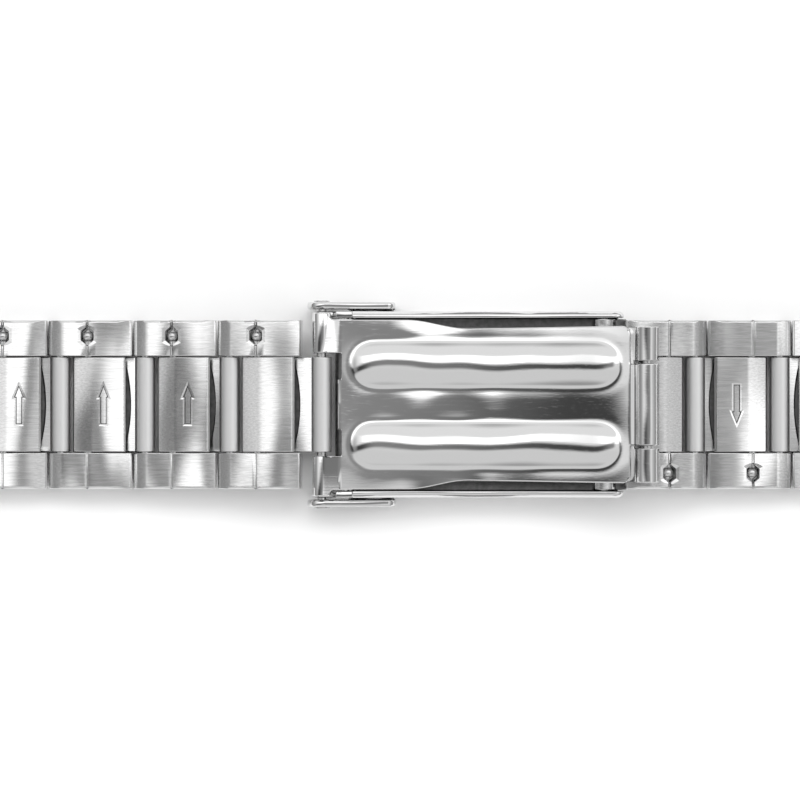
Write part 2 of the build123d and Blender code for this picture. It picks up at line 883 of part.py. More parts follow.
def main():
    os.makedirs("parts", exist_ok=True)
    link_row(blade_link_axis, -1, left_row_slopes, left_links, "left")
    link_row(adjust_axis, 1, right_row_slopes, right_links, "right")
    adjust_view = side_view(adjust_axis, right_row_slopes[0], 1)
    spring_bar(adjust_view, 1, cover_inner - adjust_sleeve_gap, cover_half, "adjust_bar")
    clasp_cover()
    middle_leaf()
    inner_blade()
    safety_flap()
    flap_rivets()
    hinge_pin(leaf_axis, cover_half, "cover_leaf_pin")
    hinge_pin(fold_axis, leaf_width / 2, "leaf_blade_pin")
    hinge_pin(blade_link_axis, ear_half_width, "blade_link_pin")


main()
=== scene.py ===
"""Looks of a steel link watch bracelet with its fold-over clasp closed, lying wrist side up."""

import json
import math

import bpy
from mathutils import Matrix, Vector


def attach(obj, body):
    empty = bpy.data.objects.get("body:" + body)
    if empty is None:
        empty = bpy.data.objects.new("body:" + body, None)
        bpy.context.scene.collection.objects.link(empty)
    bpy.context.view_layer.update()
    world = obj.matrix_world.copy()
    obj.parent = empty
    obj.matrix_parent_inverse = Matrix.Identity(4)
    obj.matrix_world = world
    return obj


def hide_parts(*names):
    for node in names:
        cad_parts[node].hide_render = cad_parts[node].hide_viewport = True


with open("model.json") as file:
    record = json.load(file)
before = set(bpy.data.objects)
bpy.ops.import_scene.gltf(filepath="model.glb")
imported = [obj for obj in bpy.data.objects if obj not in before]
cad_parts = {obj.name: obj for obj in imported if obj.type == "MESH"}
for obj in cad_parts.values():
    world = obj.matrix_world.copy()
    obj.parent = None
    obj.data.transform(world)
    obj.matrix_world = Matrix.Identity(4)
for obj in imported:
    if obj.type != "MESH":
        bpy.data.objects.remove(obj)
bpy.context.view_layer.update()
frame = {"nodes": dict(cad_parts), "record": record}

MM = 0.001

# The light tent, by the direction in which it is seen: X and Y are 0 overhead and 1 or -1 level with
# the table, and Z is 0 level with it and 1 overhead. Levels are strengths of light.
# The cloth brightens from near to far
CLOTH_ACROSS = (-0.5, 0.3)
CLOTH_LEVELS = (0.74, 0.92)
# It falls off toward its foot at both ends of the bracelet
FOOT_STARTS = (-0.6, 0.6)
FOOT_ENDS = (-0.95, 0.9)
FOOT_LEVELS = (0.35, 0.5)
# The bright panel, its two straight edges and the stretch over which it brightens
PANEL_NEAR_EDGE = (0.1, 0.15)
PANEL_FAR_EDGE = (0.48, 0.56)
PANEL_ALONG = (-0.7, -0.15)
PANEL_LEVEL = 1.6
# The dark slit, which runs askew, and the stretches over which it begins, grows paler and ends
SLIT_SLOPE = -0.27
SLIT_OFFSET = 0.05
SLIT_EDGE = (0.07, 0.26)
SLIT_BEGINNING = (-0.95, -0.6)
SLIT_PALING = (-0.5, 0.3)
SLIT_ENDING = (0.3, 0.6)
SLIT_LEVELS = (0.06, 0.28)
# The shade near the table
SHADE_HEIGHT = (0.1, 0.5)
SHADE_LEVEL = 0.3

# Softboxes that light the table alone: place and size in millimetres, and watts
SOFTBOXES = {
    "table_light_far": ((-60, 420, 520), (900, 260), 2.2),
    "table_light_near": ((60, -520, 420), (900, 200), 1.1),
}
TABLE_SIZE = 3000.0

# The view of the photograph, in millimetres. The camera's height counts from the view's level, which
# is near the wrist faces
VIEW_WIDTH = 85.2
VIEW_CENTRE = (-2.13, 0.48)
VIEW_LEVEL = 4.0
VIEW_REACH = 10000.0
CAMERA_HEIGHT = 620.0
SENSOR = 36.0

# Patterns of the finishes, in repeats per metre along X, Y and Z, and their depths in millimetres
BELT_LINES = (330, 8300, 8300)
BELT_LINE_DEPTH = 0.006
BELT_PATCHES = (260, 70, 70)
BUFF_HAIRS = (160, 6500, 6500)
BUFF_HAIR_DEPTH = 0.01
BUFF_HAIR_SLANT = 14.0
BUFF_WAVES = (170, 200, 200)
TURNING_MARKS = (900, 8000, 900)
TUMBLER_PITS = 8000.0
TUMBLER_PIT_DEPTH = 0.006
MILL_STAINS = 2000.0

# How far a finish leans a face one way and another, and the level of its noise that leans it nowhere
BELT_LEAN = (0.15, 0.72, 0.0)
BELT_CENTRE = (0.5, 0.465, 0.5)
BUFF_LEAN = (0.08, 0.26, 0.0)
BUFF_CENTRE = (0.5, 0.5, 0.5)

# Width of the rounding at the edges, in millimetres
LINK_EDGE = 0.09
PLATE_EDGE = 0.1
CLASP_EDGE = 0.12
FLAP_EDGE = 0.26
RIVET_EDGE = 0.07
TIP_EDGE = 0.015
PLAIN_EDGE = 0.12
PIN_EDGE = 0.3
BLADE_EDGE = 0.14

# Vertices that are merged, and vertices that count as lying on a face, in millimetres
MERGE = 0.002
TOUCH = 0.01

# Turns between two faces, in degrees: up to which they are merged, past which their edge is rounded,
# up to which it is shaded smooth, and past which it is rounded on the blade
FLAT_TURN = 1.5
SHARP_TURN = 28.0
SMOOTH_TURN = 38.0
BLADE_TURN = 55.0

# A link in millimetres from its plate pin, along the bracelet toward the clasp and up to the wrist
LINK_TOP = 1.4
SIDE_START = -2.85
SIDE_END = 3.3
PLATE_HEIGHT = 1.15
PLATE_UNDERSIDE = PLATE_HEIGHT - 0.6
PLATE_START = 0.25
PLATE_END = 3.22
PLATE_END_ZONE = (PLATE_END - 0.01, PLATE_END + 0.4)
PLATE_STRETCH = 0.62
CROWN = 0.06
CROWN_CUTS = 7
CROWN_EASE = 4
BEND_FOOT = -1.05
BEND_DROP = 0.36
BEND_EASE = 1.3
BEND_STRETCH = 0.34
PIN_BLOCK = 0.8
SKIRT_TOP = -0.3
SKIRT_START = -1.2
CENTRE_SPAN = 6.1
FIRST_SPAN = 6.9
BARREL_RADIUS = 1.08
LIP_TOP = -0.45
LIP_ZONE = (-1.97, -1.15)
LIP_STRETCH = 0.42
GAP_START = 0.9
GAP_TOP = 0.6

# The opening over a pin's end, across from the link's middle. Its rim and its foot are given by half
# their width, their shoulder and their tip, and the pin's head by its place in the pin's frame
OPENING_PLACE = -7.35
OPENING_RIM = (1.02, 0.75, 1.42)
OPENING_FOOT = (0.72, 0.53, 1.07)
OPENING_SINK = 0.07
OPENING_REACH = (1.1, 1.5)
OPENING_HALF = (0.72, 1.07)
OPENING_LIP = 0.15
PIN_HEAD_RADIUS = 0.62
PIN_HEAD_PLACE = (0.0, 0.32, -7.3)

# Arrow stamped in a centre plate, the way that a pin is driven out. Each step is drawn in by one
# distance at its rim and another at its foot, and has a depth
ARROW_PLACE = 1.75
ARROW_LENGTH = 4.3
ARROW_HEAD_LENGTH = 1.45
ARROW_HEAD_WIDTH = 1.2
ARROW_SHAFT_WIDTH = 0.75
ARROW_STEPS = ((-0.16, 0.02, 0.04), (0.0, 0.13, 0.16))
ARROW_BARB_INSET = 1.6
ARROW_POINT_INSET = 2.4
ARROW_REACH = (1.0, 2.7)

# Walls of a pressed shape: how deep they lie in millimetres, how far up they face at least and at
# most, and how far up a steep one faces at most
WALL_DEPTHS = (0.06, 0.3)
UPWARD_FACING = 0.3
WALL_FACING = 0.988
STEEP_FACING = 0.9

# How near a face lies to a surface, and which way it looks, to be given that surface's finish
BARREL_SKIN = 0.06
BARREL_END_FACING = 0.5
LIP_SKIN = 0.08
LIP_FACING = 0.7
FOLD_FACING = -0.5
FOLD_SIDE_FACING = 0.9
FLOOR_FACING = 0.5

# Blade in millimetres: places along it are counted from the hinge that carries the links
BLADE_CURVE = 60.0
BLADE_CURVE_PLACE = 13.0
BLADE_LOW = 3.858
BLADE_THICKNESS = 0.8
BLADE_COLUMNS = 216
BLADE_ROWS = 124
BLADE_HALF = 9.075
SHOULDER_END = 1.1
SHOULDER_SLOPE = 1.16
WAIST_START = 9.0
WAIST_END = 15.8
WAIST_DEPTH = 0.955
BLADE_END = 32.75
BLADE_END_HALF = 8.35
BLADE_CORNER = 0.9
CORNER_STEPS = 8
CORNER_CUT_END = 37.0
CORNER_CUT_HALF = 12.0
NOTCH_FRONT = -2.0
NOTCH_TAB_END = 1.74
NOTCH_TAB_HALF = 2.7
NOTCH_END = 2.14
CUT_REACH = 3.0

# Ears of the blade, rolled round the links' pin
EAR_TOP = 4.894
EAR_ROOT = 1.9
EAR_RADIUS = 1.0
EAR_INNER = 5.47
EAR_OUTER = 9.77
EAR_FRONT = -0.95
EAR_ROLL = 0.35
EAR_ROLL_RADIUS = 1.75
EAR_LEAN = 0.06
EAR_LEAN_LENGTH = 0.6

# Ribs pressed in the blade, and the valley round each
RIB_START = 3.1
RIB_END = 31.8
RIB_HALF_WIDTH = 2.35
RIB_HEIGHT = 0.9
RIB_SPACING = 8.6
RIB_BLEND = 0.12
RIB_END_BLEND = 1.0
RIB_REACH = 0.95
VALLEY_DEPTH = 0.035
VALLEY_PLACE = 0.45
VALLEY_WIDTH = 0.5

# Long edges of the blade: the far one droops past a place, and the near one in three half waves
DROOP = 0.05
DROOP_START = 6.6
DROOP_EASE = 1.5
FAR_DROOP_START = 7.0
FAR_DROOP_LENGTH = 4.0
NEAR_WAVE_START = 8.3
NEAR_WAVE_LENGTH = 3.5
NEAR_WAVE_COUNT = 3
NEAR_WAVE_LIFT = 0.2

# Tongue of the blade, which ends in a knuckle on the leaf's pin
TONGUE_HALF = 4.35
TONGUE_END = 34.6
GROOVE_START = 32.6
GROOVE_LENGTH = 0.8
GROOVE_DEPTH = 0.42
FOLD_RADIUS = 1.27
LEAF_KNUCKLE = 2.6

# The floor inside the cover, in millimetres of the shared frame
CHANNEL_TOP = 2.6
CHANNEL_HALF = 9.2

# Links on each side of the clasp
SIDES = {"left": 4, "right": 3}

hinges = {
    joint["name"]: Vector(joint["pos_m"])
    for joint in frame["record"]["behaviour"]["joints"]
    if "pos_m" in joint
}
body_of_node = {
    node: body
    for body, nodes in frame["record"]["behaviour"]["bodies"].items()
    for node in nodes
}
slot_of_node = {part["node"]: part["material_slot"] for part in frame["record"]["subparts"]}


def linear(code):
    """An sRGB hex colour as the linear colour that a shader takes."""
    parts = [int(code[i:i + 2], 16) / 255 for i in (1, 3, 5)]
    return [c / 12.92 if c <= 0.04045 else ((c + 0.055) / 1.055) ** 2.4 for c in parts] + [1.0]


def add_node(tree, kind, links=(), **settings):
    """Adds a shader node, sets its sockets and values, and links other nodes' outputs to it."""
    node = tree.nodes.new(kind)
    for name, value in settings.items():
        if name in node.inputs:
            node.inputs[name].default_value = value
        else:
            setattr(node, name, value)
    for output, socket in links:
        tree.links.new(output, node.inputs[socket])
    return node


def new_metal(name, colour, roughness):
    """A bare metal and its main shader, with the colour and roughness set on the shader."""
    material = bpy.data.materials.new(name)
    material.use_nodes = True
    shader = material.node_tree.nodes["Principled BSDF"]
    shader.inputs["Base Color"].default_value = linear(colour)
    shader.inputs["Metallic"].default_value = 1.0
    shader.inputs["Roughness"].default_value = roughness
    return material, material.node_tree, shader


def uneven_normal(tree, place, scale, centre, lean):
    """Lets a face lean a little one way and another over a few millimetres, as hand finishing does."""
    patches_map = add_node(
        tree, "ShaderNodeMapping", [(place.outputs["Object"], "Vector")], Scale=scale
    )
    patches = add_node(
        tree, "ShaderNodeTexNoise", [(patches_map.outputs["Vector"], "Vector")], Scale=1.0, Detail=0.0
    )
    centred = add_node(
        tree, "ShaderNodeVectorMath", [(patches.outputs["Color"], 0)], operation="SUBTRACT"
    )
    centred.inputs[1].default_value = centre
    leaning = add_node(
        tree, "ShaderNodeVectorMath", [(centred.outputs["Vector"], 0)], operation="MULTIPLY"
    )
    leaning.inputs[1].default_value = lean
    turned = add_node(
        tree,
        "ShaderNodeVectorTransform",
        [(leaning.outputs["Vector"], "Vector")],
        vector_type="VECTOR",
        convert_from="OBJECT",
        convert_to="WORLD",
    )
    surface = add_node(tree, "ShaderNodeNewGeometry")
    total = add_node(
        tree,
        "ShaderNodeVectorMath",
        [(surface.outputs["Normal"], 0), (turned.outputs["Vector"], 1)],
        operation="ADD",
    )
    unit = add_node(
        tree, "ShaderNodeVectorMath", [(total.outputs["Vector"], 0)], operation="NORMALIZE"
    )
    return unit.outputs["Vector"]


def brushed_stainless():
    """Stainless steel drawn over a fine belt: it mirrors crisply along the lines and smears across them."""
    material, tree, shader = new_metal("stainless_steel_belt_brushed", "#E2E2E2", 0.2)
    shader.inputs["Anisotropic"].default_value = 0.75
    place = add_node(tree, "ShaderNodeTexCoord")
    across = add_node(
        tree,
        "ShaderNodeVectorTransform",
        Vector=(0, 1, 0),
        vector_type="VECTOR",
        convert_from="OBJECT",
        convert_to="WORLD",
    )
    tree.links.new(across.outputs["Vector"], shader.inputs["Tangent"])
    # Belt lines 0.03 mm apart are too fine to show, so they are drawn 0.12 mm apart and 3 mm long
    stretch = add_node(
        tree, "ShaderNodeMapping", [(place.outputs["Object"], "Vector")], Scale=BELT_LINES
    )
    lines = add_node(
        tree, "ShaderNodeTexNoise", [(stretch.outputs["Vector"], "Vector")], Scale=1.0, Detail=3.0
    )
    tone = add_node(tree, "ShaderNodeValToRGB", [(lines.outputs["Fac"], "Fac")])
    tone.color_ramp.elements[0].position = 0.3
    tone.color_ramp.elements[0].color = linear("#D6D6D6")
    tone.color_ramp.elements[1].position = 0.7
    tone.color_ramp.elements[1].color = linear("#EDEDED")
    tree.links.new(tone.outputs["Color"], shader.inputs["Base Color"])
    # The belt leaves each face uneven over some 4 mm along the bracelet
    uneven = uneven_normal(tree, place, BELT_PATCHES, BELT_CENTRE, BELT_LEAN)
    bump = add_node(
        tree,
        "ShaderNodeBump",
        [(lines.outputs["Fac"], "Height"), (uneven, "Normal")],
        Strength=0.12,
        Distance=BELT_LINE_DEPTH * MM,
    )
    tree.links.new(bump.outputs["Normal"], shader.inputs["Normal"])
    return material


def polished_stainless():
    """Stainless steel buffed to a mirror: crisp reflections, a faint waviness and a few hair scratches."""
    material, tree, shader = new_metal("stainless_steel_buffed", "#E4E4E4", 0.1)
    place = add_node(tree, "ShaderNodeTexCoord")
    # The buffing wheel leaves waves some 5 mm long
    wavy = uneven_normal(tree, place, BUFF_WAVES, BUFF_CENTRE, BUFF_LEAN)
    # Hair scratches, 6 mm long and drawn 0.15 mm apart, slanted a little across the bracelet
    hair_map = add_node(
        tree,
        "ShaderNodeMapping",
        [(place.outputs["Object"], "Vector")],
        Rotation=(0, 0, math.radians(BUFF_HAIR_SLANT)),
        Scale=BUFF_HAIRS,
    )
    hairs = add_node(
        tree, "ShaderNodeTexNoise", [(hair_map.outputs["Vector"], "Vector")], Scale=1.0, Detail=3.0
    )
    dull = add_node(
        tree,
        "ShaderNodeMapRange",
        [(hairs.outputs["Fac"], "Value")],
        **{"From Min": 0.55, "From Max": 0.75, "To Min": 0.07, "To Max": 0.2},
    )
    tree.links.new(dull.outputs["Result"], shader.inputs["Roughness"])
    fine = add_node(
        tree,
        "ShaderNodeBump",
        [(hairs.outputs["Fac"], "Height"), (wavy, "Normal")],
        Strength=0.2,
        Distance=BUFF_HAIR_DEPTH * MM,
    )
    tree.links.new(fine.outputs["Normal"], shader.inputs["Normal"])
    return material


def turned_stainless():
    """Stainless wire cut and turned for pins: smooth, a touch duller than the buffed sheet."""
    material, tree, shader = new_metal("stainless_steel_turned", "#D8D8D8", 0.2)
    place = add_node(tree, "ShaderNodeTexCoord")
    # Turning marks run round a pin, 0.12 mm apart along it
    rings_map = add_node(
        tree, "ShaderNodeMapping", [(place.outputs["Object"], "Vector")], Scale=TURNING_MARKS
    )
    rings = add_node(
        tree, "ShaderNodeTexNoise", [(rings_map.outputs["Vector"], "Vector")], Scale=1.0, Detail=2.0
    )
    dull = add_node(
        tree,
        "ShaderNodeMapRange",
        [(rings.outputs["Fac"], "Value")],
        **{"To Min": 0.12, "To Max": 0.34},
    )
    tree.links.new(dull.outputs["Result"], shader.inputs["Roughness"])
    return material


def tumbled_stainless():
    """Stainless steel tumbled in fine stones, as rolled barrels are: a soft even sheen with tiny pits."""
    material, tree, shader = new_metal("stainless_steel_tumbled", "#ECECEC", 0.42)
    place = add_node(tree, "ShaderNodeTexCoord")
    # Pits of 0.02 mm are too fine to show, so they are drawn 0.12 mm across
    pits = add_node(
        tree, "ShaderNodeTexNoise", [(place.outputs["Object"], "Vector")], Scale=TUMBLER_PITS, Detail=2.0
    )
    dull = add_node(
        tree,
        "ShaderNodeMapRange",
        [(pits.outputs["Fac"], "Value")],
        **{"To Min": 0.36, "To Max": 0.5},
    )
    tree.links.new(dull.outputs["Result"], shader.inputs["Roughness"])
    bump = add_node(
        tree,
        "ShaderNodeBump",
        [(pits.outputs["Fac"], "Height")],
        Strength=0.1,
        Distance=TUMBLER_PIT_DEPTH * MM,
    )
    tree.links.new(bump.outputs["Normal"], shader.inputs["Normal"])
    return material


def painted_shade_stainless():
    """Painted shade: steel given a dark grey colour and a dull sheen, for the folds, gaps and recesses where
    shade falls.
    """
    material, tree, shader = new_metal("stainless_steel_painted_shade", "#7C7C7C", 0.42)
    place = add_node(tree, "ShaderNodeTexCoord")
    # Blotches about half a millimetre across make the painted shade's dark grey uneven at random
    stains = add_node(
        tree, "ShaderNodeTexNoise", [(place.outputs["Object"], "Vector")], Scale=MILL_STAINS, Detail=3.0
    )
    # These dark greys are painted shade
    tone = add_node(tree, "ShaderNodeValToRGB", [(stains.outputs["Fac"], "Fac")])
    tone.color_ramp.elements[0].color = linear("#636363")
    tone.color_ramp.elements[1].color = linear("#959595")
    tree.links.new(tone.outputs["Color"], shader.inputs["Base Color"])
    return material


BRUSHED = brushed_stainless()
POLISHED = polished_stainless()
TURNED = turned_stainless()
PAINTED_SHADE = painted_shade_stainless()
TUMBLED = tumbled_stainless()
FINISHES = {"brushed_steel": BRUSHED, "polished_steel": POLISHED, "turned_steel": TURNED}

# Finishes of a link's pieces and of the clasp's, the main one first, and their places in that order; the
# dark steel among them is painted shade
LINK_FINISHES = (BRUSHED, POLISHED, PAINTED_SHADE, TUMBLED)
FACE, EDGE, PAINTED_SHADE_SLOT, BARREL = range(4)
CLASP_FINISHES = (POLISHED, PAINTED_SHADE)
CLASP_SHADE_SLOT = 1


def select_only(piece):
    """Makes one piece the only one that the next operators act on."""
    bpy.ops.object.select_all(action="DESELECT")
    piece.select_set(True)
    bpy.context.view_layer.objects.active = piece


def apply_all(piece):
    """Applies every modifier of a piece in turn."""
    select_only(piece)
    for modifier in list(piece.modifiers):
        bpy.ops.object.modifier_apply(modifier=modifier.name)


def merged_copy(node, name):
    """A copy of a CAD node with its loose triangles merged into whole faces."""
    piece = bpy.data.objects.new(name, frame["nodes"][node].data.copy())
    bpy.context.scene.collection.objects.link(piece)
    select_only(piece)
    bpy.ops.mesh.customdata_custom_splitnormals_clear()
    bpy.ops.object.mode_set(mode="EDIT")
    bpy.ops.mesh.select_all(action="SELECT")
    bpy.ops.mesh.remove_doubles(threshold=MERGE * MM)
    bpy.ops.mesh.dissolve_limited(angle_limit=math.radians(FLAT_TURN))
    bpy.ops.object.mode_set(mode="OBJECT")
    return piece


def finish_shading(piece):
    """Smooth shading that keeps flat faces flat beside their rounded edges."""
    select_only(piece)
    bpy.ops.object.shade_smooth_by_angle(angle=math.radians(SMOOTH_TURN))
    weighted = piece.modifiers.new("flat_faces", "WEIGHTED_NORMAL")
    weighted.keep_sharp = True
    apply_all(piece)


def soften(piece, width, segments=3, edge_slot=-1, turn=SHARP_TURN):
    """Rounds the edges of a piece that turn sharply and shades the rest smooth."""
    bevel = piece.modifiers.new("soft_edges", "BEVEL")
    bevel.width = width * MM
    bevel.segments = segments
    bevel.limit_method = "ANGLE"
    bevel.angle_limit = math.radians(turn)
    bevel.use_clamp_overlap = False
    bevel.material = edge_slot
    apply_all(piece)
    finish_shading(piece)


def paint(piece, *materials):
    """Gives a piece its finishes, the main one first."""
    piece.data.materials.clear()
    for material in materials:
        piece.data.materials.append(material)


def paint_faces(piece, home, choose):
    """Gives single faces another finish, chosen by where they lie in a frame and how they face."""
    to_home = home.inverted()
    turn = to_home.to_3x3()
    for face in piece.data.polygons:
        index = choose(to_home @ face.center / MM, turn @ face.normal)
        if index is not None:
            face.material_index = index


def raise_crown(piece, home, start, end, height):
    """Gives a flat top between two places the slight crown that the brushing belt leaves."""
    across = home.to_3x3() @ Vector((1, 0, 0))
    select_only(piece)
    bpy.ops.object.mode_set(mode="EDIT")
    for step in range(CROWN_CUTS + 1):
        place = home @ Vector(((start + (end - start) * step / CROWN_CUTS) * MM, 0, 0))
        bpy.ops.mesh.select_all(action="SELECT")
        bpy.ops.mesh.bisect(plane_co=place, plane_no=across)
    bpy.ops.object.mode_set(mode="OBJECT")
    to_pin = home.inverted()
    for vertex in piece.data.vertices:
        spot = to_pin @ vertex.co / MM
        if start < spot.x < end and abs(spot.y - height) < TOUCH:
            lean = (2 * spot.x - start - end) / (end - start)
            vertex.co.z += CROWN * (1 - lean**CROWN_EASE) * MM


def settle(piece, *nodes):
    """Lets a piece stand for CAD nodes and move with their body."""
    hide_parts(*nodes)
    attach(piece, body_of_node[nodes[0]])


def copy_piece(piece, name, move):
    """A copy of a piece with its own mesh, moved to its place in the bracelet."""
    mesh = piece.data.copy()
    mesh.transform(move)
    other = bpy.data.objects.new(name, mesh)
    bpy.context.scene.collection.objects.link(other)
    return other


def link_hinges(side, number):
    """The three hinge lines of a link: clasp side, plate pin and barrel pin."""
    if number == 1:
        clasp = "left_blade_hinge" if side == "left" else "adjust_hinge"
    else:
        clasp = f"{side}_link_{number - 1}_barrel_hinge"
    last = number == SIDES[side]
    barrel = f"{side}_end_hinge" if last else f"{side}_link_{number}_barrel_hinge"
    return hinges[clasp], hinges[f"{side}_link_{number}_plate_hinge"], hinges[barrel]


def pin_frame(origin, toward_clasp, side):
    """Frame at a pin: X to the clasp, Y to the wrist and Z across the bracelet."""
    along = toward_clasp.normalized()
    across = Vector((0, -1 if side == "left" else 1, 0))
    up = across.cross(along)
    frame_matrix = Matrix((along, up, across)).transposed().to_4x4()
    frame_matrix.translation = origin
    return frame_matrix


def centre_frame(side, number):
    """Frame of a link's centre piece, which reaches from the plate pin to the clasp side."""
    clasp, plate, _ = link_hinges(side, number)
    return pin_frame(plate, clasp - plate, side)


def outer_frame(side, number):
    """Frame of a link's outer pieces and pins, which join the plate pin and the barrel pin."""
    _, plate, barrel = link_hinges(side, number)
    return pin_frame(plate, plate - barrel, side)


def prism(name, points, low, high):
    """An upright block with an outline in millimetres, for cutting."""
    mesh = bpy.data.meshes.new(name)
    mesh.from_pydata([(x * MM, y * MM, low * MM) for x, y in points], [], [range(len(points))])
    block = bpy.data.objects.new(name, mesh)
    bpy.context.scene.collection.objects.link(block)
    select_only(block)
    bpy.ops.object.mode_set(mode="EDIT")
    bpy.ops.mesh.select_all(action="SELECT")
    bpy.ops.mesh.extrude_region_move(TRANSFORM_OT_translate={"value": (0, 0, (high - low) * MM)})
    bpy.ops.mesh.select_all(action="SELECT")
    bpy.ops.mesh.normals_make_consistent(inside=False)
    bpy.ops.object.mode_set(mode="OBJECT")
    return block


def cut(piece, tool):
    """Cuts the shape of a tool out of a piece, and throws the tool away."""
    boolean = piece.modifiers.new("cut", "BOOLEAN")
    boolean.object = tool
    boolean.operation = "DIFFERENCE"
    boolean.solver = "EXACT"
    apply_all(piece)
    bpy.data.objects.remove(tool)


def press(piece, rim, foot, low, high):
    """Sinks a shape with sloping walls into a face, from its outline at the top and the one at its foot."""
    stamp = prism("stamp", rim, low, high)
    for vertex, (x, y) in zip(stamp.data.vertices, foot):
        vertex.co.x = x * MM
        vertex.co.y = y * MM
    cut(piece, stamp)


def keep_crisp(piece, place, reach, top):
    """Keeps the edges of a pressed shape crisp under smooth shading, and gives its steep walls painted shade
    in dark grey steel.
    """
    walls = set()
    for face in piece.data.polygons:
        spot = face.center / MM
        near = abs(spot.x - place[0]) < reach[0] and abs(spot.y - place[1]) < reach[1]
        deep = top - WALL_DEPTHS[1] < spot.z < top - WALL_DEPTHS[0]
        if near and face.normal.z > UPWARD_FACING and (deep or face.normal.z < WALL_FACING):
            walls.update(face.edge_keys)
            # Steep walls get the dark painted shade
            if face.normal.z < STEEP_FACING:
                face.material_index = PAINTED_SHADE_SLOT
    for edge in piece.data.edges:
        if edge.key in walls:
            edge.use_edge_sharp = True
    finish_shading(piece)


def arrow_outline(inset):
    """Outline of an arrow along Y, drawn in by a distance on every side."""
    half = ARROW_LENGTH / 2 - inset
    shaft = ARROW_SHAFT_WIDTH / 2 - inset
    barb = ARROW_HEAD_WIDTH / 2 - ARROW_BARB_INSET * inset
    neck = ARROW_LENGTH / 2 - ARROW_HEAD_LENGTH + inset
    point = ARROW_LENGTH / 2 - ARROW_POINT_INSET * inset
    return [
        (-shaft, -half),
        (shaft, -half),
        (shaft, neck),
        (barb, neck),
        (0, point),
        (-barb, neck),
        (-shaft, neck),
    ]


def stamp_arrow(piece, home):
    """Presses an arrow into a centre plate that lies flat: a shallow rim first, then the deep middle."""
    top = home.translation.z / MM + PLATE_HEIGHT + CROWN
    x = home.translation.x / MM + ARROW_PLACE
    for rim_inset, foot_inset, depth in ARROW_STEPS:
        rim = [(x + a, b) for a, b in arrow_outline(rim_inset)]
        foot = [(x + a, b) for a, b in arrow_outline(foot_inset)]
        press(piece, rim, foot, top - depth, top)
    keep_crisp(piece, (x, 0), ARROW_REACH, top)


def opening_outline(corners, x, y):
    """The six-sided outline round a pin's opening, whose two tips point across the bracelet."""
    half, shoulder, tip = corners
    points = [
        (half, -shoulder),
        (half, shoulder),
        (0, tip),
        (-half, shoulder),
        (-half, -shoulder),
        (0, -tip),
    ]
    return [(x + a, y + b) for a, b in points]


def sink_opening(piece, home):
    """Countersinks the opening over a pin's end in an outer piece that lies flat, as a drill leaves it."""
    top = home.translation.z / MM + LINK_TOP + CROWN
    x, y = home.translation.x / MM, -OPENING_PLACE
    rim = opening_outline(OPENING_RIM, x, y)
    foot = opening_outline(OPENING_FOOT, x, y)
    press(piece, rim, foot, top - OPENING_SINK, top)
    keep_crisp(piece, (x, y), OPENING_REACH, top)


def shape_folds(piece, home, span):
    """Gives the folds of a centre piece their full reach: the plate's two ends and the lip at the barrel."""
    to_pin = home.inverted()
    clasp_way = home.to_3x3() @ Vector((MM, 0, 0))
    for vertex in piece.data.vertices:
        spot = to_pin @ vertex.co / MM
        if spot.x < PLATE_START and spot.y > 0:
            reach = min((PLATE_START - spot.x) / (PLATE_START - BEND_FOOT), 1)
            vertex.co.z -= BEND_DROP * reach**BEND_EASE * MM
        if spot.x < 0 and spot.y > SKIRT_TOP and math.hypot(spot.x, spot.y) > PIN_BLOCK:
            vertex.co -= clasp_way * BEND_STRETCH * min(-spot.x / PIN_BLOCK, 1)
        if PLATE_END_ZONE[0] < spot.x < PLATE_END_ZONE[1] and spot.y > PLATE_UNDERSIDE:
            vertex.co += clasp_way * PLATE_STRETCH
        if LIP_ZONE[0] < spot.x - span < LIP_ZONE[1] and spot.y < 0:
            vertex.co -= clasp_way * (LIP_STRETCH + span - CENTRE_SPAN)


def centre_finish_and_shade(span):
    """Finishes of a folded centre piece: a tumbled barrel, a brushed lip, and painted shade in the folds,
    dark grey steel where shade falls.
    """

    def choose(place, facing):
        on_barrel = abs(math.hypot(place.x - span, place.y) - BARREL_RADIUS) < BARREL_SKIN
        if on_barrel and abs(facing.z) < BARREL_END_FACING:
            return BARREL
        if abs(place.y - LIP_TOP) < LIP_SKIN and facing.y > LIP_FACING and place.x > GAP_START:
            return FACE
        # Folded faces that look into the gaps get painted shade
        folded = GAP_START < place.x < span or place.x < SKIRT_START
        sheltered = facing.y > FOLD_FACING and abs(facing.z) < FOLD_SIDE_FACING
        return PAINTED_SHADE_SLOT if folded and place.y < GAP_TOP and sheltered else None

    return choose


def opening_finish(place, facing):
    """Tumbled steel down inside the opening over a pin's end."""
    near = abs(place.x) < OPENING_HALF[0] and abs(place.z - OPENING_PLACE) < OPENING_HALF[1]
    return BARREL if near and place.y < LINK_TOP - OPENING_LIP else None


def finished_centre(node, name, home, span):
    """A link's folded centre piece, crowned, drawn out, eased and finished."""
    centre = merged_copy(node, name)
    raise_crown(centre, home, PLATE_START, PLATE_END, PLATE_HEIGHT)
    shape_folds(centre, home, span)
    soften(centre, PLATE_EDGE, edge_slot=EDGE)
    paint(centre, *LINK_FINISHES)
    paint_faces(centre, home, centre_finish_and_shade(span))
    return centre


def finished_outer(node, name, home):
    """A link's outer piece, crowned on both sides of the plate pin, eased and finished."""
    outer = merged_copy(node, name)
    raise_crown(outer, home, SIDE_START, 0, LINK_TOP)
    raise_crown(outer, home, 0, SIDE_END, LINK_TOP)
    soften(outer, LINK_EDGE, edge_slot=EDGE)
    paint(outer, *LINK_FINISHES)
    return outer


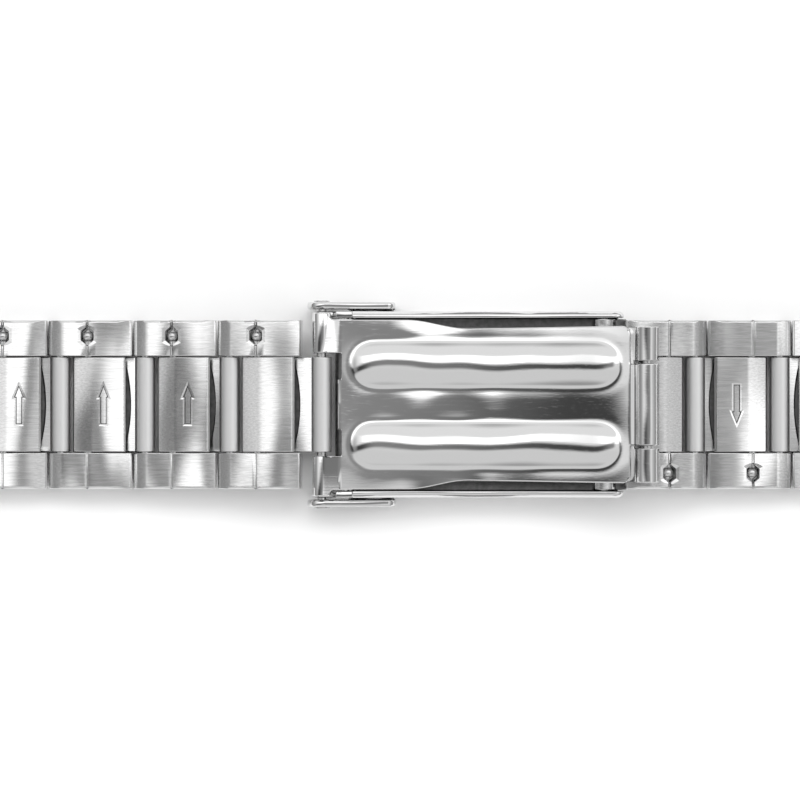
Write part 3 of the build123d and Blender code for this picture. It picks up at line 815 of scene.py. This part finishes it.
def add_pin_head(pins, home):
    """The round head of a plate pin, which shows in the opening."""
    place = home @ (Vector(PIN_HEAD_PLACE) * MM)
    bpy.ops.mesh.primitive_uv_sphere_add(
        segments=40, ring_count=20, radius=PIN_HEAD_RADIUS * MM, location=place
    )
    head = bpy.context.active_object
    bpy.ops.object.transform_apply(location=True, rotation=True, scale=True)
    bpy.ops.object.shade_smooth()
    bpy.ops.object.select_all(action="DESELECT")
    head.select_set(True)
    pins.select_set(True)
    bpy.context.view_layer.objects.active = pins
    bpy.ops.object.join()


def dress_links():
    """One link is finished, then copied along both rows, whose first links have longer centre pieces."""
    flat = SIDES["left"]
    home_centre = centre_frame("left", flat)
    home_outer = outer_frame("left", flat)
    centre = finished_centre(f"left_link_{flat}_centre", "centre_master", home_centre, CENTRE_SPAN)
    open_outer = finished_outer(f"left_link_{flat}_outer_far", "outer_master_far", home_outer)
    plain_outer = finished_outer(f"left_link_{flat}_outer_near", "outer_master_near", home_outer)
    pins = merged_copy(f"left_link_{flat}_pins", "pins_master")
    soften(pins, PIN_EDGE, segments=5)
    add_pin_head(pins, home_outer)
    paint(pins, TURNED)
    paint_faces(open_outer, home_outer, opening_finish)
    stamp_arrow(centre, home_centre)
    sink_opening(open_outer, home_outer)
    for side, count in SIDES.items():
        open_row, plain_row = ("far", "near") if side == "left" else ("near", "far")
        for number in range(1, count + 1):
            name = f"{side}_link_{number}"
            home = centre_frame(side, number)
            if number == 1:
                first = finished_centre(f"{name}_centre", f"{name}_folded_plate", home, FIRST_SPAN)
                settle(first, f"{name}_centre")
            else:
                move = home @ home_centre.inverted()
                settle(copy_piece(centre, f"{name}_folded_plate", move), f"{name}_centre")
            move = outer_frame(side, number) @ home_outer.inverted()
            settle(copy_piece(open_outer, f"{name}_side_open", move), f"{name}_outer_{open_row}")
            settle(copy_piece(plain_outer, f"{name}_side_plain", move), f"{name}_outer_{plain_row}")
            settle(copy_piece(pins, f"{name}_round_pins", move), f"{name}_pins")
    for master in (centre, open_outer, plain_outer, pins):
        bpy.data.objects.remove(master)


def blade_half_width(place):
    """Half the width of the blade at a place along it, in millimetres."""
    if place < SHOULDER_END:
        return min(EAR_OUTER, BLADE_HALF + (SHOULDER_END - place) * SHOULDER_SLOPE)
    turn = min(max((place - WAIST_START) / (WAIST_END - WAIST_START), 0), 1)
    width = BLADE_HALF - WAIST_DEPTH * (1 - math.cos(math.pi * turn)) / 2
    beyond = max(place - WAIST_END, 0) / (BLADE_END - WAIST_END)
    return width + (BLADE_END_HALF - BLADE_HALF + WAIST_DEPTH) * beyond


def notch_outline():
    """The notch between the ears, in which the links' barrel turns."""
    half = [
        (NOTCH_TAB_END, 0.0),
        (NOTCH_TAB_END, NOTCH_TAB_HALF),
        (NOTCH_END, NOTCH_TAB_HALF),
        (NOTCH_END, EAR_INNER),
        (NOTCH_FRONT, EAR_INNER),
    ]
    return half + [(x, -y) for x, y in reversed(half[1:])]


def corner_outline(side):
    """What is cut away beside the tongue, with a round corner on the blade."""
    points = [(CORNER_CUT_END, TONGUE_HALF), (BLADE_END, TONGUE_HALF)]
    for step in range(CORNER_STEPS + 1):
        turn = math.radians(90 * step / CORNER_STEPS)
        x = BLADE_END - BLADE_CORNER + BLADE_CORNER * math.cos(turn)
        points.append((x, BLADE_END_HALF - BLADE_CORNER + BLADE_CORNER * math.sin(turn)))
    points += [(BLADE_END - BLADE_CORNER, CORNER_CUT_HALF), (CORNER_CUT_END, CORNER_CUT_HALF)]
    return [(x, side * y) for x, y in points]


def rib_rise(place, across):
    """How far a pressed rib stands over the blade's plain curve, with a slight valley round its foot."""
    over = 0.0
    for beyond in (place - RIB_END + RIB_HALF_WIDTH, RIB_START + RIB_HALF_WIDTH - place):
        over += (beyond + math.hypot(beyond, RIB_END_BLEND)) / 2
    away = math.hypot(over, abs(across) - RIB_SPACING / 2)
    crown = (RIB_HALF_WIDTH**2 + RIB_HEIGHT**2) / (2 * RIB_HEIGHT)
    from_valley = (away - RIB_HALF_WIDTH - VALLEY_PLACE) / VALLEY_WIDTH
    valley = VALLEY_DEPTH * math.exp(-(from_valley**2))
    if away > crown * RIB_REACH:
        return -valley
    rise = math.sqrt(crown**2 - away**2) - (crown - RIB_HEIGHT)
    return (rise + math.hypot(rise, RIB_BLEND)) / 2 - valley


def edge_droop(place, across):
    """How far the blade's long edges lean down beside the ribs, unevenly, as the press left them."""
    beyond = max(abs(across) - DROOP_START, 0)
    if across > 0:
        lean = min(max((place - FAR_DROOP_START) / FAR_DROOP_LENGTH, 0), 1)
    else:
        turn = min(max((place - NEAR_WAVE_START) / NEAR_WAVE_LENGTH, 0), NEAR_WAVE_COUNT)
        lean = -NEAR_WAVE_LIFT + (1 + NEAR_WAVE_LIFT) * (1 + math.cos(math.pi * turn)) / 2
    return DROOP * lean * beyond**DROOP_EASE


def ear_face(place, across):
    """Height of an ear: rolled round its pin at the front, the far one leaning a little."""
    height = EAR_TOP
    if across > 0:
        height -= EAR_LEAN * (across - EAR_INNER) * min((EAR_ROOT - place) / EAR_LEAN_LENGTH, 1)
    if place < EAR_ROLL:
        height -= EAR_ROLL_RADIUS - math.sqrt(EAR_ROLL_RADIUS**2 - (place - EAR_ROLL) ** 2)
    return height


def blade_face(place, across):
    """Height of the blade's wrist face, in millimetres."""
    if place < EAR_ROOT:
        return ear_face(place, across)
    centre = BLADE_LOW + BLADE_CURVE
    face = centre - math.sqrt(BLADE_CURVE**2 - (place - BLADE_CURVE_PLACE) ** 2)
    return face + rib_rise(place, across) - edge_droop(place, across)


def tongue_groove(place):
    """How far the tongue's face drops where it meets its rolled end."""
    turn = min(max((place - GROOVE_START) / GROOVE_LENGTH, 0), 1)
    return GROOVE_DEPTH * (1 - math.cos(math.pi * turn)) / 2


def add_knuckle(axis, radius, start, end, name):
    """A round knuckle along Y between two distances, in millimetres, with eased ends."""
    bpy.ops.mesh.primitive_cylinder_add(
        vertices=64,
        radius=radius * MM,
        depth=(end - start) * MM,
        location=(axis.x, (start + end) / 2 * MM, axis.z),
        rotation=(math.radians(90), 0, 0),
    )
    knuckle = bpy.context.active_object
    knuckle.name = name
    bpy.ops.object.transform_apply(location=True, rotation=True, scale=True)
    soften(knuckle, BLADE_EDGE)
    return knuckle


def blade_sheet():
    """The blade's outline in flat sheet, counted from the hinge, before it is pressed."""
    length = TONGUE_END - EAR_FRONT
    bpy.ops.object.select_all(action="DESELECT")
    bpy.ops.mesh.primitive_grid_add(x_subdivisions=BLADE_COLUMNS, y_subdivisions=BLADE_ROWS, size=1)
    sheet = bpy.context.active_object
    sheet.name = "blade_buffed"
    # A millimetre to each side at first, which the half width then draws out
    sheet.scale = (length * MM, 2 * MM, 1)
    sheet.location = ((EAR_FRONT + length / 2) * MM, 0, 0)
    bpy.ops.object.transform_apply(location=True, rotation=True, scale=True)
    for vertex in sheet.data.vertices:
        vertex.co.y *= blade_half_width(vertex.co.x / MM)
    solid = sheet.modifiers.new("gauge", "SOLIDIFY")
    solid.thickness = BLADE_THICKNESS * MM
    solid.offset = -1
    apply_all(sheet)
    for outline in (notch_outline(), corner_outline(1), corner_outline(-1)):
        cut(sheet, prism("blade_cut", outline, -CUT_REACH, CUT_REACH))
    return sheet


def dress_blade():
    """The pressed and buffed blade, shaped from one fine sheet, with its rolled knuckles."""
    hinge = hinges["left_blade_hinge"]
    sheet = blade_sheet()
    for vertex in sheet.data.vertices:
        place, across = vertex.co.x / MM, vertex.co.y / MM
        if vertex.co.z > -BLADE_THICKNESS / 2 * MM:
            vertex.co.z -= tongue_groove(place) * MM
        vertex.co.z += blade_face(place, across) * MM
        vertex.co.x += hinge.x
    soften(sheet, BLADE_EDGE, turn=BLADE_TURN)
    knuckles = [
        add_knuckle(hinge, EAR_RADIUS, EAR_INNER, EAR_OUTER, "ear_far"),
        add_knuckle(hinge, EAR_RADIUS, -EAR_OUTER, -EAR_INNER, "ear_near"),
        add_knuckle(hinges["blade_fold"], FOLD_RADIUS, -TONGUE_HALF, TONGUE_HALF, "tongue"),
    ]
    bpy.ops.object.select_all(action="DESELECT")
    for piece in knuckles + [sheet]:
        piece.select_set(True)
    bpy.context.view_layer.objects.active = sheet
    bpy.ops.object.join()
    paint(sheet, POLISHED)
    settle(sheet, "inner_blade")


def channel_painted_shade(place, facing):
    """Painted shade on the floor inside the cover: dark grey steel where the blade shades it."""
    on_floor = place.z < CHANNEL_TOP and abs(place.y) < CHANNEL_HALF
    return CLASP_SHADE_SLOT if on_floor and facing.z > FLOOR_FACING else None


def leaf_painted_shade(place, facing):
    """Painted shade on the leaf under the blade, in dark grey steel; only its knuckles, which show beside
    the blade, stay buffed.
    """
    return CLASP_SHADE_SLOT if place.x < hinges["blade_fold"].x / MM - LEAF_KNUCKLE else None


def dress_rest():
    """Everything else keeps its CAD shape, with the edges eased as far as each piece is worn."""
    widths = {
        "clasp_cover": CLASP_EDGE,
        "middle_leaf": LINK_EDGE,
        "safety_flap": FLAP_EDGE,
        "left_end_link": LINK_EDGE,
        "right_end_link": LINK_EDGE,
        "flap_rivets": RIVET_EDGE,
    }
    # The cover's floor and the leaf under the blade get painted shade, dark grey steel
    painted_shade_places = {"clasp_cover": channel_painted_shade, "middle_leaf": leaf_painted_shade}
    for node in frame["nodes"]:
        if frame["nodes"][node].hide_render:
            continue
        width = TIP_EDGE if "_tip_" in node else widths.get(node, PLAIN_EDGE)
        piece = merged_copy(node, f"{node}_eased")
        if node.endswith("end_link"):
            soften(piece, width, edge_slot=EDGE)
            paint(piece, BRUSHED, POLISHED)
        elif node in painted_shade_places:
            soften(piece, width)
            paint(piece, *CLASP_FINISHES)
            paint_faces(piece, Matrix.Identity(4), painted_shade_places[node])
        else:
            soften(piece, width)
            paint(piece, FINISHES[slot_of_node[node]])
        settle(piece, node)


def add_floor():
    """A pale table top."""
    bpy.ops.object.select_all(action="DESELECT")
    bpy.ops.mesh.primitive_plane_add(size=TABLE_SIZE * MM)
    floor = bpy.context.active_object
    floor.name = "table"
    material = bpy.data.materials.new("white_card")
    material.use_nodes = True
    shader = material.node_tree.nodes["Principled BSDF"]
    shader.inputs["Base Color"].default_value = linear("#FAFAFA")
    shader.inputs["Roughness"].default_value = 0.9
    floor.data.materials.append(material)


def add_softbox(name, place, size, watts):
    """A softbox that lights the table alone and faces the clasp, its place and size in millimetres."""
    light = bpy.data.lights.new(name, "AREA")
    light.shape = "RECTANGLE"
    light.size = size[0] * MM
    light.size_y = size[1] * MM
    light.energy = watts
    lamp = bpy.data.objects.new(name, light)
    lamp.location = Vector(place) * MM
    lamp.rotation_euler = (-lamp.location).to_track_quat("-Z", "Y").to_euler()
    lamp.visible_glossy = False
    bpy.context.scene.collection.objects.link(lamp)


def pale_cloth(tree, along, across):
    """Cloth all round, which brightens from near to far and falls off toward both ends."""
    cloth = add_node(
        tree,
        "ShaderNodeMapRange",
        [(across, "Value")],
        interpolation_type="SMOOTHSTEP",
        **{
            "From Min": CLOTH_ACROSS[0],
            "From Max": CLOTH_ACROSS[1],
            "To Min": CLOTH_LEVELS[0],
            "To Max": CLOTH_LEVELS[1],
        },
    )
    for start, end, level in zip(FOOT_STARTS, FOOT_ENDS, FOOT_LEVELS):
        cloth = add_node(
            tree,
            "ShaderNodeMapRange",
            [(along, "Value"), (cloth.outputs["Result"], "To Min")],
            interpolation_type="SMOOTHSTEP",
            **{"From Min": start, "From Max": end, "To Max": level},
        )
    return cloth.outputs["Result"]


def bright_panel(tree, along, across, cloth):
    """A panel in the cloth, which brightens along the bracelet and ends at two straight edges."""
    bright = add_node(
        tree,
        "ShaderNodeMapRange",
        [(along, "Value"), (cloth, "To Min")],
        interpolation_type="SMOOTHSTEP",
        **{"From Min": PANEL_ALONG[0], "From Max": PANEL_ALONG[1], "To Max": PANEL_LEVEL},
    )
    ended = add_node(
        tree,
        "ShaderNodeMapRange",
        [(across, "Value"), (bright.outputs["Result"], "To Min"), (cloth, "To Max")],
        interpolation_type="SMOOTHSTEP",
        **{"From Min": PANEL_FAR_EDGE[0], "From Max": PANEL_FAR_EDGE[1]},
    )
    panel = add_node(
        tree,
        "ShaderNodeMapRange",
        [(across, "Value"), (cloth, "To Min"), (ended.outputs["Result"], "To Max")],
        interpolation_type="SMOOTHSTEP",
        **{"From Min": PANEL_NEAR_EDGE[0], "From Max": PANEL_NEAR_EDGE[1]},
    )
    return panel.outputs["Result"]


def lens_slit(tree, along, across, tent):
    """A dark slit askew overhead for the lens, darkest toward one end and faded out past both."""
    dark = add_node(
        tree,
        "ShaderNodeMapRange",
        [(along, "Value")],
        interpolation_type="SMOOTHSTEP",
        **{
            "From Min": SLIT_PALING[0],
            "From Max": SLIT_PALING[1],
            "To Min": SLIT_LEVELS[0],
            "To Max": SLIT_LEVELS[1],
        },
    )
    begun = add_node(
        tree,
        "ShaderNodeMapRange",
        [(along, "Value"), (tent, "To Min"), (dark.outputs["Result"], "To Max")],
        interpolation_type="SMOOTHSTEP",
        **{"From Min": SLIT_BEGINNING[0], "From Max": SLIT_BEGINNING[1]},
    )
    ended = add_node(
        tree,
        "ShaderNodeMapRange",
        [(along, "Value"), (begun.outputs["Result"], "To Min"), (tent, "To Max")],
        interpolation_type="SMOOTHSTEP",
        **{"From Min": SLIT_ENDING[0], "From Max": SLIT_ENDING[1]},
    )
    askew = add_node(tree, "ShaderNodeMath", [(along, 0), (across, 2)], operation="MULTIPLY_ADD")
    askew.inputs[1].default_value = SLIT_SLOPE
    centred = add_node(tree, "ShaderNodeMath", [(askew.outputs["Value"], 0)], operation="ADD")
    centred.inputs[1].default_value = SLIT_OFFSET
    distance = add_node(tree, "ShaderNodeMath", [(centred.outputs["Value"], 0)], operation="ABSOLUTE")
    slit = add_node(
        tree,
        "ShaderNodeMapRange",
        [(distance.outputs["Value"], "Value"), (ended.outputs["Result"], "To Min"), (tent, "To Max")],
        interpolation_type="SMOOTHSTEP",
        **{"From Min": SLIT_EDGE[0], "From Max": SLIT_EDGE[1]},
    )
    return slit.outputs["Result"]


def add_studio():
    """A light tent with a panel and a slit, shade near the table, and softboxes for the table."""
    world = bpy.data.worlds.new("white_tent")
    bpy.context.scene.world = world
    world.use_nodes = True
    tree = world.node_tree
    place = add_node(tree, "ShaderNodeTexCoord")
    split = add_node(tree, "ShaderNodeSeparateXYZ", [(place.outputs["Generated"], "Vector")])
    along, across, height = split.outputs["X"], split.outputs["Y"], split.outputs["Z"]
    tent = bright_panel(tree, along, across, pale_cloth(tree, along, across))
    # Near the table the cloth is in its own shade, which gives edges and low views their greys
    light = add_node(
        tree,
        "ShaderNodeMapRange",
        [(height, "Value"), (lens_slit(tree, along, across, tent), "To Max")],
        interpolation_type="SMOOTHSTEP",
        **{"From Min": SHADE_HEIGHT[0], "From Max": SHADE_HEIGHT[1], "To Min": SHADE_LEVEL},
    )
    tree.links.new(light.outputs["Result"], tree.nodes["Background"].inputs["Strength"])
    tree.nodes["Background"].inputs["Color"].default_value = (1, 1, 1, 1)
    for name, (spot, size, watts) in SOFTBOXES.items():
        add_softbox(name, spot, size, watts)


def add_camera():
    """A long lens straight above the clasp, framed as the photograph."""
    camera = bpy.data.cameras.new("view_from_above")
    camera.type = "PERSP"
    camera.sensor_width = SENSOR
    camera.lens = SENSOR * CAMERA_HEIGHT / VIEW_WIDTH
    camera.clip_end = VIEW_REACH * MM
    eye = bpy.data.objects.new("view_from_above", camera)
    eye.location = Vector((*VIEW_CENTRE, CAMERA_HEIGHT + VIEW_LEVEL)) * MM
    bpy.context.scene.collection.objects.link(eye)
    bpy.context.scene.camera = eye


dress_links()
dress_blade()
dress_rest()
add_floor()
add_studio()
add_camera()
bpy.context.scene.view_settings.view_transform = "Standard"
